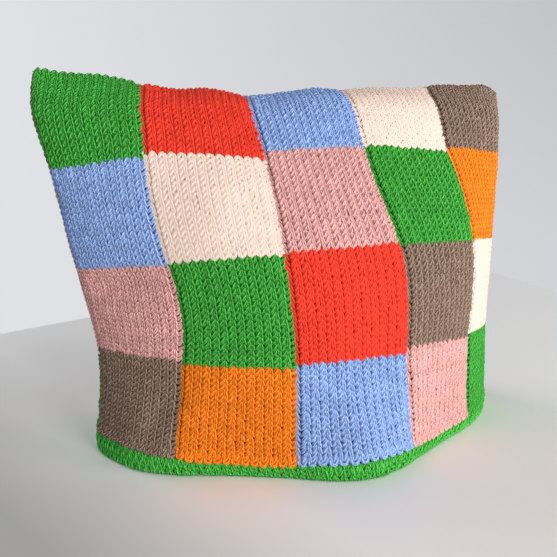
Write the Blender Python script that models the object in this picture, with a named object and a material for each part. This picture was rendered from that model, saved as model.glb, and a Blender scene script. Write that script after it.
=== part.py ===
"""Hand-knitted patchwork tea cosy: a bag of two knitted panels, sewn together at the sides and along
the top, with a turned band knitted on round the open bottom. It stands on the band, open end down.

X runs along the top seam, the front panel faces -Y and +Z is up. The origin is under the middle of
the cosy's box, at the level of the foot. Lengths in the tables are millimetres.
"""
import math

import bmesh
import bpy
import numpy as np

MM = 0.001

# Driving dimensions, in millimetres
SQUARE = 60.0           # side of one knitted square
ROWS = 4                # squares from the band up to the top seam
CLOTH = 3.2             # thickness of the knitted cloth
GAP = 0.4               # clearance where two pieces of cloth meet
EDGE_ROUND = 5.0        # width of the rounded lip beside a seam
SEAM_HEIGHT = 217.0     # level where the side seams meet the top seam
SEAM_LEAN = 9.0         # how far the foot of a side seam stands in front of its top
SEAM_BOW = 21.0         # how far a side seam bows forward at half height
EAR_ROUND_LEFT = 4.0    # the left ear comes to a point
EAR_ROUND_RIGHT = 11.0  # the right ear is softer
EAR_PINCH = 0.6         # share of the thickness lost in the tip of an ear
EAR_REACH = 14.0        # how far from the tip the pinch is felt
BAND_TALL = 8.8         # height of the turned band
BAND_THICK = 5.4        # thickness of the turned band
CENTRE_X = -3.51        # middle of the cosy's box, across
CENTRE_Y = -16.8        # middle of the cosy's box, front to back

# The form, as level lines of the cloth. up: distance along the cloth from the foot. mid, left and
# right: height of the line in the middle and at the two side seams. x_left and x_right: the side
# seams. front and back: how deep the belly is on each side. skew: how far the belly leans to the
# right. belly: how pinched the line is at the seams, 1 for an oval and 2 for a pointed lens.
COLUMNS = ("up", "mid", "left", "right", "x_left", "x_right", "front", "back", "skew", "belly")
FORM = (
    (9, 9, 9, 9, -125, 137, 78, 74, 1, 1.6),
    (69, 69, 63, 61, -123, 128, 66, 80, 8, 1.6),
    (129, 128, 114, 115, -133, 128, 61, 80, 11, 1.6),
    (189, 177, 170, 169, -143, 136, 34, 52, -8, 1.4),
    (222, 202, 200, 198, -149, 139, 18, 27, -1, 1.0),
    (249, 208, 221, 216, -147, 142, 0, 0, 0, 1.5),
)

# Soft folds: name, place across (0 left to 1 right) and up (0 foot to 1 top seam), turn in degrees
# from level, half length, half width and height, with hollows negative.
FRONT_FOLDS = (
    ("tuck below the left ear", 0.09, 0.45, 4, 34, 11, -4.0),
    ("turn beside the fourth column", 0.61, 0.24, 88, 62, 13, 2.6),
    ("hollow over the left foot", 0.15, 0.09, 74, 22, 8, -2.4),
    ("hollow in the middle of the foot", 0.45, 0.10, 82, 24, 9, -1.6),
    ("crease beside the turn", 0.72, 0.41, 4, 20, 6, -1.4),
    ("swell under the shoulder", 0.30, 0.62, 70, 34, 20, 2.0),
    ("sink of the shoulder", 0.43, 0.88, 80, 22, 16, -2.4),
)
BACK_FOLDS = (
    ("hollow below the right ear", 0.12, 0.50, 8, 34, 12, -3.6),
    ("turn beside the second column", 0.36, 0.30, 92, 58, 14, 2.4),
    ("hollow over the left foot", 0.82, 0.12, 104, 26, 10, -2.6),
    ("sink of the shoulder", 0.60, 0.86, 96, 22, 16, -2.2),
)

# Soft waves of the two free edges, as places across (0 left to 1 right) and heights: upward along the
# top seam, and outward round the foot, where they die out over WAVE_REACH of cloth.
TOP_WAVE = (
    (0.0, 0.0), (0.07, 1.2), (0.13, 3.0), (0.20, 1.2), (0.27, -0.6), (0.33, 0.8), (0.41, -2.6), (0.50, -0.2),
    (0.56, 1.8), (0.61, 0.7), (0.68, 1.6), (0.78, 0.3), (0.84, 0.8), (0.92, -1.4), (1.0, -2.6),
)
FRONT_FOOT_WAVE = (
    (0.0, 0.0), (0.06, 2.0), (0.12, 4.5), (0.20, 0.0), (0.26, -5.0), (0.34, -6.0), (0.40, -3.5), (0.46, 3.0),
    (0.52, 7.0), (0.57, 4.5), (0.62, 0.0), (0.70, -4.5), (0.77, -3.5), (0.85, 0.0), (1.0, 0.0),
)
BACK_FOOT_WAVE = (
    (0.0, 0.0), (0.12, -2.5), (0.26, 2.5), (0.40, 4.0), (0.55, -3.5), (0.70, 2.0), (0.86, 3.0), (1.0, 0.0),
)
WAVE_REACH = 60.0

# How finely each piece is divided
ACROSS = 40
UP = 30
ROUND_BAND = 76

FOOT = FORM[0][0]
TOP = FORM[-1][0]


def table(name):
    """One named column of the form."""
    return np.array([row[COLUMNS.index(name)] for row in FORM], float)


def smooth(place, knots, values):
    """A smooth curve through a table's points, read at any place."""
    step = np.diff(knots)
    slope = np.diff(values) / step
    bend = np.empty_like(values)
    bend[0] = slope[0]
    bend[-1] = slope[-1]
    bend[1:-1] = (slope[:-1] * step[1:] + slope[1:] * step[:-1]) / (step[1:] + step[:-1])
    i = np.clip(np.searchsorted(knots, place, side="right") - 1, 0, len(knots) - 2)
    t = (place - knots[i]) / step[i]
    rise = (2 * t**3 - 3 * t**2 + 1) * values[i] + (3 * t**2 - 2 * t**3) * values[i + 1]
    lean = (t**3 - 2 * t**2 + t) * bend[i] + (t**3 - t**2) * bend[i + 1]
    return rise + lean * step[i]


def along(up, name):
    """A column of the form at any distance up the cloth."""
    return smooth(up, table("up"), table(name))


def wave(points, share):
    """Height of a wave at shares of the way across."""
    knots, values = np.array(points, float).T
    return smooth(share, knots, values)


def seam_y(z):
    """Where the seams lie front to back, at each height."""
    t = np.clip(z / SEAM_HEIGHT, 0.0, 1.0)
    return -(SEAM_LEAN * (1.0 - t) + SEAM_BOW * 4.0 * t * (1.0 - t))


def lip(distance, width=EDGE_ROUND):
    """A quarter round: 0 on the seam, 1 from one width away."""
    q = 1.0 - np.clip(distance / width, 0.0, 1.0)
    return np.sqrt(1.0 - q * q)


def run_of(points):
    """Distance run along a line at each of its points."""
    return np.concatenate(([0.0], np.cumsum(np.linalg.norm(np.diff(points, axis=0), axis=1))))


def level_line(up, side, count=129):
    """Points of one level line, from the left side seam to the right one."""
    turn = np.linspace(0.0, math.pi, count)
    c = np.cos(turn)
    s = np.maximum(np.sin(turn), 1e-9)
    left = along(up, "x_left")
    right = along(up, "x_right")
    depth = along(up, "front" if side < 0 else "back")
    middle = along(up, "mid")
    x = (left + right) / 2 - (right - left) / 2 * c + along(up, "skew") * s * s
    z = middle + (along(up, "left") - middle) * np.maximum(c, 0.0) ** 2.5
    z = z + (along(up, "right") - middle) * np.maximum(-c, 0.0) ** 2.5
    near_top = np.clip((up - (TOP - SQUARE)) / SQUARE, 0.0, 1.0)
    for radius, inner in ((EAR_ROUND_LEFT, x - left), (EAR_ROUND_RIGHT, right - x)):
        z = z - near_top * radius * 0.7 * np.clip(1.0 - inner / radius, 0.0, 1.0) ** 2
    edge = lip((1.0 - abs(c)) * (right - left) * 0.8) * lip(TOP - up)
    belly = side * (GAP / 2 + CLOTH * edge + np.maximum(depth, 0.0) * s ** along(up, "belly"))
    share = run_of(np.stack((x, seam_y(z) + belly, z), axis=-1))
    share = share / share[-1]
    z = z + near_top * wave(TOP_WAVE, share)
    points = np.stack((x, seam_y(z) + belly, z), axis=-1)
    # the waves of the foot push the line out along its own normal, seen from above
    near_foot = np.clip(1.0 - (up - FOOT) / WAVE_REACH, 0.0, 1.0)
    push = side * near_foot**2 * (3.0 - 2.0 * near_foot) * wave(FRONT_FOOT_WAVE if side < 0 else BACK_FOOT_WAVE, share)
    ahead = np.gradient(points[:, :2], axis=0)
    ahead = ahead / np.linalg.norm(ahead, axis=1, keepdims=True)
    points[:, 0] -= push * ahead[:, 1]
    points[:, 1] += push * ahead[:, 0]
    return points


def spaced(points, shares):
    """Points at equal shares of the cloth along a line."""
    run = run_of(points)
    wanted = np.asarray(shares) * run[-1]
    return np.stack([np.interp(wanted, run, points[:, k]) for k in range(3)], axis=-1)


def skin(side, across, up):
    """The outer face of a panel: rows of points, one row for each share up the cloth."""
    rows = [spaced(level_line(FOOT + GAP + (TOP - FOOT - GAP) * v, side), across) for v in up]
    return np.array(rows)


def outward(side, across, up, reach=0.004):
    """Vectors straight out of a panel, and straight out of the bag on its seams."""
    span_u = skin(side, np.clip(across + reach, 0, 1), up) - skin(side, np.clip(across - reach, 0, 1), up)
    span_v = skin(side, across, np.clip(up + reach, 0, 1)) - skin(side, across, np.clip(up - reach, 0, 1))
    out = np.cross(span_u, span_v) * -side
    out /= np.linalg.norm(out, axis=-1, keepdims=True)
    out[:, 0] = (-1.0, 0.0, 0.0)
    out[:, -1] = (1.0, 0.0, 0.0)
    out[-1, :] = (0.0, 0.0, 1.0)
    out[-1, 0] = (-0.7, 0.0, 0.7)
    out[-1, -1] = (0.7, 0.0, 0.7)
    return out


def fold_height(folds, across, up):
    """How far the folds lift or sink the cloth, fading out beside the seams."""
    wide = TOP - FOOT
    s = np.asarray(across)[None, :] * 5 * SQUARE
    t = np.asarray(up)[:, None] * wide
    height = np.zeros((len(up), len(across)))
    for _, place_u, place_v, turn, length, width, rise in folds:
        a = math.radians(turn)
        ds = s - place_u * 5 * SQUARE
        dt = t - place_v * wide
        run = (ds * math.cos(a) + dt * math.sin(a)) / length
        off = (dt * math.cos(a) - ds * math.sin(a)) / width
        height += rise * np.exp(-run**2 - off**2)
    fade = lip(np.minimum(s, 5 * SQUARE - s), 22.0) * lip(wide - t, 22.0)
    return height * fade


def ear_thin(across, up):
    """The cloth is pinched thinner where the seams run into an ear."""
    s = np.asarray(across)[None, :] * 5 * SQUARE
    t = (1.0 - np.asarray(up)[:, None]) * (TOP - FOOT)
    corner = np.minimum(s, 5 * SQUARE - s) ** 2 + t**2
    return 1.0 - EAR_PINCH * np.exp(-corner / EAR_REACH**2)


def panel_faces(side, across, up):
    """Outer and inner faces of one panel."""
    normal = outward(side, across, up)
    folds = FRONT_FOLDS if side < 0 else BACK_FOLDS
    outer = skin(side, across, up) + normal * fold_height(folds, across, up)[..., None]
    inner = outer - normal * (CLOTH * ear_thin(across, up))[..., None]
    inner[0, :, 2] = outer[0, :, 2]
    for face in (outer, inner):
        limit = seam_y(face[..., 2]) + side * GAP / 2
        face[..., 1] = limit + side * np.maximum(side * (face[..., 1] - limit), 0.0)
    return outer, inner


def wool(name, colour):
    """A soft matt knitted wool."""
    material = bpy.data.materials.new(name)
    material.use_nodes = True
    shader = material.node_tree.nodes["Principled BSDF"]
    shader.inputs["Base Color"].default_value = (*colour, 1.0)
    shader.inputs["Roughness"].default_value = 0.9
    shader.inputs["Metallic"].default_value = 0.0
    return material


def add_panel(name, side, material, collection):
    """A flat grid is thickened, then laid on the form: one closed shell of cloth."""
    mesh = bpy.data.meshes.new(name)
    bm = bmesh.new()
    bmesh.ops.create_grid(bm, x_segments=ACROSS, y_segments=UP, size=0.5)
    first = list(bm.verts)
    outer_verts = set(first)
    bmesh.ops.extrude_face_region(bm, geom=list(bm.faces), use_keep_orig=True)
    for vert in bm.verts:
        if vert not in outer_verts:
            vert.co.z = -1.0
    bmesh.ops.recalc_face_normals(bm, faces=list(bm.faces))
    if side > 0:
        bmesh.ops.reverse_faces(bm, faces=list(bm.faces))
    shares = sorted({round(v.co.x + 0.5, 5) for v in first})
    levels = sorted({round(v.co.y + 0.5, 5) for v in first})
    g = np.array(shares)
    h = np.array(levels)
    across = g - 0.40 * np.sin(2 * math.pi * g) / (2 * math.pi)
    up = h + 0.35 * np.sin(math.pi * h) / math.pi
    outer, inner = panel_faces(side, across, up)
    for vert in bm.verts:
        i = shares.index(round(vert.co.x + 0.5, 5))
        j = levels.index(round(vert.co.y + 0.5, 5))
        point = outer[j, i] if vert in outer_verts else inner[j, i]
        vert.co = [(point[0] - CENTRE_X) * MM, (point[1] - CENTRE_Y) * MM, point[2] * MM]
    bm.to_mesh(mesh)
    bm.free()
    mesh.shade_smooth()
    mesh.set_sharp_from_angle(angle=math.radians(50))
    mesh.materials.append(material)
    obj = bpy.data.objects.new(name, mesh)
    collection.objects.link(obj)
    return obj


def band_path():
    """The middle of the band, seen from above: the foot of both panels as one smooth ring."""
    front = level_line(FOOT, -1)
    back = level_line(FOOT, 1)[::-1]
    ring = np.concatenate((front[:-1], back[:-1]))[:, :2]
    closed = np.concatenate((ring, ring[:1]))
    run = run_of(closed)
    fine = np.linspace(0.0, run[-1], 721)[:-1]
    ring = np.stack([np.interp(fine, run, closed[:, k]) for k in range(2)], axis=-1)
    for _ in range(60):
        ring = (np.roll(ring, 1, axis=0) + 2 * ring + np.roll(ring, -1, axis=0)) / 4
    ahead = np.roll(ring, -1, axis=0) - np.roll(ring, 1, axis=0)
    ahead /= np.linalg.norm(ahead, axis=1, keepdims=True)
    inward = np.stack((-ahead[:, 1], ahead[:, 0]), axis=-1)
    ring = ring + inward * (BAND_THICK / 2 - 1.2)
    pick = (np.arange(ROUND_BAND) * len(ring) / ROUND_BAND).astype(int)
    return ring[pick]


def add_band(name, material, collection, guides):
    """The turned band: a soft flat-footed roll swept round the ring."""
    half = BAND_THICK / 2
    tall = BAND_TALL
    right = ((0.55, 0.0), (0.92, 0.12), (1.0, 0.36), (1.0, 0.66), (0.80, 0.90), (0.30, 1.0))
    outline = [(a * half, (b - 0.5) * tall) for a, b in right]
    outline += [(-a, b) for a, b in reversed(outline)]
    outline.reverse()
    profile = bpy.data.curves.new("band_profile", "CURVE")
    profile.dimensions = "2D"
    spline = profile.splines.new("POLY")
    spline.points.add(len(outline) - 1)
    for point, (a, b) in zip(spline.points, outline):
        point.co = (a * MM, b * MM, 0.0, 1.0)
    spline.use_cyclic_u = True
    guide = bpy.data.objects.new("band_profile", profile)
    guide.hide_render = True
    guide.display_type = "WIRE"
    guides.objects.link(guide)

    curve = bpy.data.curves.new(name, "CURVE")
    curve.dimensions = "3D"
    curve.twist_mode = "Z_UP"
    curve.bevel_mode = "OBJECT"
    curve.bevel_object = guide
    path = band_path()
    ring = curve.splines.new("POLY")
    ring.points.add(len(path) - 1)
    for point, (x, y) in zip(ring.points, path):
        point.co = ((x - CENTRE_X) * MM, (y - CENTRE_Y) * MM, tall / 2 * MM, 1.0)
    ring.use_cyclic_u = True
    curve.materials.append(material)
    obj = bpy.data.objects.new(name, curve)
    collection.objects.link(obj)
    return obj


def main():
    for obj in list(bpy.data.objects):
        bpy.data.objects.remove(obj, do_unlink=True)
    cosy = bpy.data.collections.new("tea_cosy")
    guides = bpy.data.collections.new("guides")
    bpy.context.scene.collection.children.link(cosy)
    bpy.context.scene.collection.children.link(guides)
    patchwork = wool("patchwork_wool", (0.62, 0.36, 0.30))
    green = wool("green_wool", (0.05, 0.38, 0.05))
    add_panel("panel_front", -1, patchwork, cosy)
    add_panel("panel_back", 1, patchwork, cosy)
    add_band("hem_band", green, cosy, guides)


main()
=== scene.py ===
"""Looks for the hand-knitted patchwork tea cosy. Every stitch is its own strand of wool, laid on the
same form as the solids. Lengths are millimetres until they are put in a mesh; the floor, the lamps
and the camera are in metres."""
import math
from collections import namedtuple

import bpy
import numpy as np
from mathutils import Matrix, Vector


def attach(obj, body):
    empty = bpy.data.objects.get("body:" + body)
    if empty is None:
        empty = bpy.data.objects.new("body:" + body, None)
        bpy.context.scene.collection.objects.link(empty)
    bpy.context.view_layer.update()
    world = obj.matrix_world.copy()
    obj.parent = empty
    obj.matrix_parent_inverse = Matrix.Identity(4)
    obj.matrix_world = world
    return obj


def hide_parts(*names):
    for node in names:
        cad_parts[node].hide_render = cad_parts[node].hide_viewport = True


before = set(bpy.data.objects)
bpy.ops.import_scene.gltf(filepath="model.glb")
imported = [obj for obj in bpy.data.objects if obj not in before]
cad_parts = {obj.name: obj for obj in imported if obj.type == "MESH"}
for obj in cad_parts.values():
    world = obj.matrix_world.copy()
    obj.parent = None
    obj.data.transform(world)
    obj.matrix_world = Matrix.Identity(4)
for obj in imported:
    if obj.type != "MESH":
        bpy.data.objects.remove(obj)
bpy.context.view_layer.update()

MM = 0.001
RNG = np.random.default_rng(11)

# ------------------------ the form, as in part.py
SQUARE = 60.0           # side of one knitted square
STRIPS = 5              # strips of squares across a panel
ROWS = 4                # squares from the band up to the top seam
CLOTH = 3.2             # thickness of the knitted cloth
GAP = 0.4               # clearance where two pieces of cloth meet
EDGE_ROUND = 5.0        # width of the rounded lip beside a seam
SEAM_HEIGHT = 217.0     # level where the side seams meet the top seam
SEAM_LEAN = 9.0         # how far the foot of a side seam stands in front of its top
SEAM_BOW = 21.0         # how far a side seam bows forward at half height
EAR_ROUND_LEFT = 4.0    # the left ear comes to a point
EAR_ROUND_RIGHT = 11.0  # the right ear is softer
EAR_DROP = 0.7          # how far an ear's tip comes down, as a share of its rounding
BAND_TALL = 8.8         # height of the turned band
BAND_THICK = 5.4        # thickness of the turned band
CENTRE = np.array((-3.51, -16.8, 0.0))  # middle of the cosy's box, at the level of the foot

# The form, as level lines of the cloth. up: distance along the cloth from the foot. mid, left and
# right: height of the line in the middle and at the two side seams. x_left and x_right: the side
# seams. front and back: how deep the belly is on each side. skew: how far the belly leans to the
# right. belly: how pinched the line is at the seams, 1 for an oval and 2 for a pointed lens.
COLUMNS = ("up", "mid", "left", "right", "x_left", "x_right", "front", "back", "skew", "belly")
FORM = (
    (9, 9, 9, 9, -125, 137, 78, 74, 1, 1.6),
    (69, 69, 63, 61, -123, 128, 66, 80, 8, 1.6),
    (129, 128, 114, 115, -133, 128, 61, 80, 11, 1.6),
    (189, 177, 170, 169, -143, 136, 34, 52, -8, 1.4),
    (222, 202, 200, 198, -149, 139, 18, 27, -1, 1.0),
    (249, 208, 221, 216, -147, 142, 0, 0, 0, 1.5),
)

# Soft folds: name, place across (0 left to 1 right) and up (0 foot to 1 top seam), turn in degrees
# from level, half length, half width and height, with hollows negative.
FRONT_FOLDS = (
    ("tuck below the left ear", 0.09, 0.45, 4, 34, 11, -4.0),
    ("turn beside the fourth column", 0.61, 0.24, 88, 62, 13, 2.6),
    ("hollow over the left foot", 0.15, 0.09, 74, 22, 8, -2.4),
    ("hollow in the middle of the foot", 0.45, 0.10, 82, 24, 9, -1.6),
    ("crease beside the turn", 0.72, 0.41, 4, 20, 6, -1.4),
    ("swell under the shoulder", 0.30, 0.62, 70, 34, 20, 2.0),
    ("sink of the shoulder", 0.43, 0.88, 80, 22, 16, -2.4),
)
BACK_FOLDS = (
    ("hollow below the right ear", 0.12, 0.50, 8, 34, 12, -3.6),
    ("turn beside the second column", 0.36, 0.30, 92, 58, 14, 2.4),
    ("hollow over the left foot", 0.82, 0.12, 104, 26, 10, -2.6),
    ("sink of the shoulder", 0.60, 0.86, 96, 22, 16, -2.2),
)

# Soft waves of the two free edges, as places across (0 left to 1 right) and heights: upward along the
# top seam, and outward round the foot, where they die out over WAVE_REACH of cloth.
TOP_WAVE = (
    (0.0, 0.0), (0.07, 1.2), (0.13, 3.0), (0.20, 1.2), (0.27, -0.6), (0.33, 0.8), (0.41, -2.6),
    (0.50, -0.2), (0.56, 1.8), (0.61, 0.7), (0.68, 1.6), (0.78, 0.3), (0.84, 0.8), (0.92, -1.4),
    (1.0, -2.6),
)
FRONT_FOOT_WAVE = (
    (0.0, 0.0), (0.06, 2.0), (0.12, 4.5), (0.20, 0.0), (0.26, -5.0), (0.34, -6.0), (0.40, -3.5),
    (0.46, 3.0), (0.52, 7.0), (0.57, 4.5), (0.62, 0.0), (0.70, -4.5), (0.77, -3.5), (0.85, 0.0),
    (1.0, 0.0),
)
BACK_FOOT_WAVE = (
    (0.0, 0.0), (0.12, -2.5), (0.26, 2.5), (0.40, 4.0), (0.55, -3.5), (0.70, 2.0), (0.86, 3.0),
    (1.0, 0.0),
)
WAVE_REACH = 60.0

FOOT = FORM[0][0]
TOP = FORM[-1][0]
PANEL_TALL = TOP - FOOT
PANEL_WIDE = STRIPS * SQUARE
FOLD_FADE = 22.0        # how far from a panel's edge its folds die out
END_RISE = 2.5          # power of a level line's rise or fall towards its ends
LEVEL_POINTS = 161      # points along one level line
SKIN_ACROSS = 401       # points across a skin's table
SKIN_UP = 321           # and up it
SEAM_CLEAR = 0.15       # how far each panel keeps from the surface that the seams lie in
TINY = 1e-9             # keeps a division from failing


def unit(vectors):
    """Vectors at a length of 1."""
    return vectors / np.maximum(np.linalg.norm(vectors, axis=-1, keepdims=True), TINY)


def table(name):
    """A column of the form."""
    return np.array([row[COLUMNS.index(name)] for row in FORM], float)


def smooth(place, knots, values):
    """A smooth curve through a table's points, read at any place."""
    step = np.diff(knots)
    slope = np.diff(values) / step
    bend = np.empty_like(values)
    bend[0] = slope[0]
    bend[-1] = slope[-1]
    bend[1:-1] = (slope[:-1] * step[1:] + slope[1:] * step[:-1]) / (step[1:] + step[:-1])
    i = np.clip(np.searchsorted(knots, place, side="right") - 1, 0, len(knots) - 2)
    t = (place - knots[i]) / step[i]
    rise = (2 * t**3 - 3 * t**2 + 1) * values[i] + (3 * t**2 - 2 * t**3) * values[i + 1]
    lean = (t**3 - 2 * t**2 + t) * bend[i] + (t**3 - t**2) * bend[i + 1]
    return rise + lean * step[i]


def along(up, name):
    """A column of the form at any distance up the cloth."""
    return smooth(up, table("up"), table(name))


def wave(points, share):
    """Height of a wave at shares of the way across."""
    knots, values = np.array(points, float).T
    return smooth(share, knots, values)


def seam_y(z):
    """How far forward or back the side seams stand at a height."""
    t = np.clip(z / SEAM_HEIGHT, 0.0, 1.0)
    return -(SEAM_LEAN * (1.0 - t) + SEAM_BOW * 4.0 * t * (1.0 - t))


def lip(distance, width=EDGE_ROUND):
    """A rounded lip: 0 at an edge and 1 from width on."""
    q = 1.0 - np.clip(distance / width, 0.0, 1.0)
    return np.sqrt(1.0 - q * q)


def run_of(points):
    """Distance run along a line at each of its points."""
    return np.concatenate(([0.0], np.cumsum(np.linalg.norm(np.diff(points, axis=0), axis=1))))


def level_line(up, side):
    """A panel's outer face at one distance up the cloth, from its left seam to its right one."""
    turn = np.linspace(0.0, math.pi, LEVEL_POINTS)
    c = np.cos(turn)
    s = np.maximum(np.sin(turn), TINY)
    left = along(up, "x_left")
    right = along(up, "x_right")
    depth = along(up, "front" if side < 0 else "back")
    middle = along(up, "mid")
    x = (left + right) / 2 - (right - left) / 2 * c + along(up, "skew") * s * s
    z = middle + (along(up, "left") - middle) * np.maximum(c, 0.0) ** END_RISE
    z = z + (along(up, "right") - middle) * np.maximum(-c, 0.0) ** END_RISE
    near_top = np.clip((up - (TOP - SQUARE)) / SQUARE, 0.0, 1.0)
    for radius, inner in ((EAR_ROUND_LEFT, x - left), (EAR_ROUND_RIGHT, right - x)):
        z = z - near_top * radius * EAR_DROP * np.clip(1.0 - inner / radius, 0.0, 1.0) ** 2
    from_seam = (1.0 - abs(c)) * (right - left) * 0.8
    edge = lip(from_seam) * lip(TOP - up)
    belly = side * (GAP / 2 + CLOTH * edge + np.maximum(depth, 0.0) * s ** along(up, "belly"))
    share = run_of(np.stack((x, seam_y(z) + belly, z), axis=-1))
    share = share / share[-1]
    z = z + near_top * wave(TOP_WAVE, share)
    points = np.stack((x, seam_y(z) + belly, z), axis=-1)
    # the waves of the foot push the line out along its own normal, seen from above
    near_foot = np.clip(1.0 - (up - FOOT) / WAVE_REACH, 0.0, 1.0)
    foot_wave = wave(FRONT_FOOT_WAVE if side < 0 else BACK_FOOT_WAVE, share)
    push = side * near_foot**2 * (3.0 - 2.0 * near_foot) * foot_wave
    ahead = unit(np.gradient(points[:, :2], axis=0))
    points[:, 0] -= push * ahead[:, 1]
    points[:, 1] += push * ahead[:, 0]
    return points


def read_line(points, run, wanted):
    """Places at wanted distances along a line."""
    return np.stack([np.interp(wanted, run, column) for column in points.T], axis=-1)


def spaced(points, shares):
    """Places at shares of the way along a line."""
    run = run_of(points)
    return read_line(points, run, shares * run[-1])


def fold_height(folds, across, up):
    """How far the folds raise a panel's skin, and nothing at its edges."""
    s = across[None, :] * STRIPS * SQUARE
    t = up[:, None] * PANEL_TALL
    height = np.zeros((len(up), len(across)))
    for _, place_u, place_v, turn, length, width, rise in folds:
        a = math.radians(turn)
        ds = s - place_u * STRIPS * SQUARE
        dt = t - place_v * PANEL_TALL
        run = (ds * math.cos(a) + dt * math.sin(a)) / length
        off = (dt * math.cos(a) - ds * math.sin(a)) / width
        height += rise * np.exp(-run**2 - off**2)
    fade = lip(np.minimum(s, PANEL_WIDE - s), FOLD_FADE) * lip(PANEL_TALL - t, FOLD_FADE)
    return height * fade


class Skin:
    """A panel's outer face as a fine table, read at any place across and up."""

    def __init__(self, side):
        self.side = side
        self.across = np.linspace(0.0, 1.0, SKIN_ACROSS)
        self.up = np.linspace(0.0, 1.0, SKIN_UP)
        levels = FOOT + GAP + (PANEL_TALL - GAP) * self.up
        flat = np.array([spaced(level_line(up, side), self.across) for up in levels])
        out = self.normals(flat, side)
        folds = FRONT_FOLDS if side < 0 else BACK_FOLDS
        self.place = flat + out * fold_height(folds, self.across, self.up)[..., None] - CENTRE
        self.out = self.normals(self.place, side)

    @staticmethod
    def normals(grid, side):
        """The way out of the cloth at each point."""
        span_u = np.gradient(grid, axis=1)
        span_v = np.gradient(grid, axis=0)
        return unit(np.cross(span_u, span_v) * -side)

    def read(self, grid, u, v):
        """A table of the skin, read between its points."""
        x = np.clip(u, 0.0, 1.0) * (len(self.across) - 1)
        y = np.clip(v, 0.0, 1.0) * (len(self.up) - 1)
        i = np.minimum(x.astype(int), len(self.across) - 2)
        j = np.minimum(y.astype(int), len(self.up) - 2)
        fx = (x - i)[..., None]
        fy = (y - j)[..., None]
        low = grid[j, i] * (1 - fx) + grid[j, i + 1] * fx
        high = grid[j + 1, i] * (1 - fx) + grid[j + 1, i + 1] * fx
        return low * (1 - fy) + high * fy

    def at(self, u, v, lift):
        """Points at a place and a lift off the skin. Below the foot the cloth runs straight down."""
        out = self.read(self.out, u, v)
        point = self.read(self.place, u, v) + out * np.asarray(lift)[..., None]
        point[..., 2] += np.minimum(v, 0.0) * PANEL_TALL
        # each panel keeps to its own side of the seams
        limit = seam_y(point[..., 2]) - CENTRE[1] + self.side * SEAM_CLEAR
        point[..., 1] = limit + self.side * np.maximum(self.side * (point[..., 1] - limit), 0.0)
        return point, out


# ------------------------ the squares
WALES = 13              # stitches across a square
ROW_COURSES = (17, 18, 18, 17)  # courses, or rows of stitches, up the squares of each row
COURSES = 17.5          # and on average
# Colours of the squares, top row first, left to right as each panel is seen from its own side
PATCHWORK = (
    ("green", "red", "blue", "cream", "taupe"),
    ("blue", "cream", "pink", "green", "orange"),
    ("pink", "green", "red", "taupe", "cream"),
    ("taupe", "orange", "blue", "pink", "green"),
)
# Where the strips are sewn together, as shares across the panel
SEAM_LOSS = 3.0         # cloth lost in each side seam
SEWN_WIDE = PANEL_WIDE - 2 * SEAM_LOSS
SEAMS = (0.0, *((SQUARE * n - SEAM_LOSS) / SEWN_WIDE for n in range(1, STRIPS)), 1.0)
# How far the seams between the strips stray on the front, in mm across, at each row boundary from the
# top seam down, and how far they bow between two boundaries. Seams count from the left side seam.
SEAM_STRAY = (
    (0, 1.4, 2.6, 3.0, 2.0, 0),
    (0, -1.2, 1.0, 1.3, -0.2, 0),
    (0, -0.5, -1.5, 1.1, 3.2, 0),
    (0, -1.5, -1.8, -0.5, -2.0, 0),
    (0, -1.4, -1.0, 5.6, 4.0, 0),
)
SEAM_BOWS = (
    (0, 2.5, 1.0, 0.5, -1.4, 0),
    (0, -1.6, 0.0, -0.8, 3.8, 0),
    (0, 2.6, 0.0, 1.1, 1.6, 0),
    (0, -0.9, -0.4, -2.4, -1.6, 0),
)
# How far the edges between the rows lie above their even place, in mm at the left and right end of each
# square's upper edge. The ends of neighbouring strips don't quite meet.
EDGE_RISE = (
    ((0, 0), (0, 0), (0, 0), (0, 0), (0, 0)),
    ((-2.7, 0.8), (3.6, -4.8), (0.6, 2.1), (3.0, -0.5), (2.2, 1.0)),
    ((1.1, -1.4), (-0.4, -0.4), (0.6, 2.2), (0.6, -0.2), (0.5, 2.0)),
    ((7.4, 2.5), (0.5, -2.6), (-0.5, 0.1), (4.1, -1.0), (1.3, -0.4)),
    ((0, 0), (0, 0), (0, 0), (0, 0), (0, 0)),
)
# The back reads these tables from their other end, and takes a share of what they say
BACK_STRAY = 0.7        # of the seams
BACK_TOP_STRAY = -1.0   # of the seams at the top, where the back is the front's mirror image
BACK_RISE = 0.4         # of the edges between the rows
# How far the squares' lower edge stands above the foot: places across each panel from the left, and mm.
# The band fills in below it.
FRONT_HEM_RISE = (
    (0.0, 6.4), (0.06, 6.8), (0.10, 6.2), (0.14, 4.6), (0.18, 3.2), (0.23, 0.8), (0.30, -0.6),
    (0.39, -0.3), (0.44, 1.5), (0.50, 3.4), (0.55, 4.2), (0.60, 3.6), (0.64, 1.8), (0.69, -0.2),
    (0.74, -0.5), (0.82, 0.0), (0.92, 0.6), (1.0, 0.8),
)
BACK_HEM_RISE = (
    (0.0, 6.4), (0.05, 4.8), (0.12, 2.2), (0.22, 0.2), (0.36, 1.4), (0.48, 2.8), (0.60, 1.2),
    (0.74, 0.0), (0.88, 0.6), (1.0, 0.8),
)


def hem_rise(side, share):
    """How far a panel's squares end above its foot, at a share across."""
    return wave(FRONT_HEM_RISE if side < 0 else BACK_HEM_RISE, share)


def hue(side, col, row):
    """The wool of a square. Columns count from the left seam, and the back is laid out from behind."""
    return PATCHWORK[row][col if side < 0 else STRIPS - 1 - col]


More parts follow.
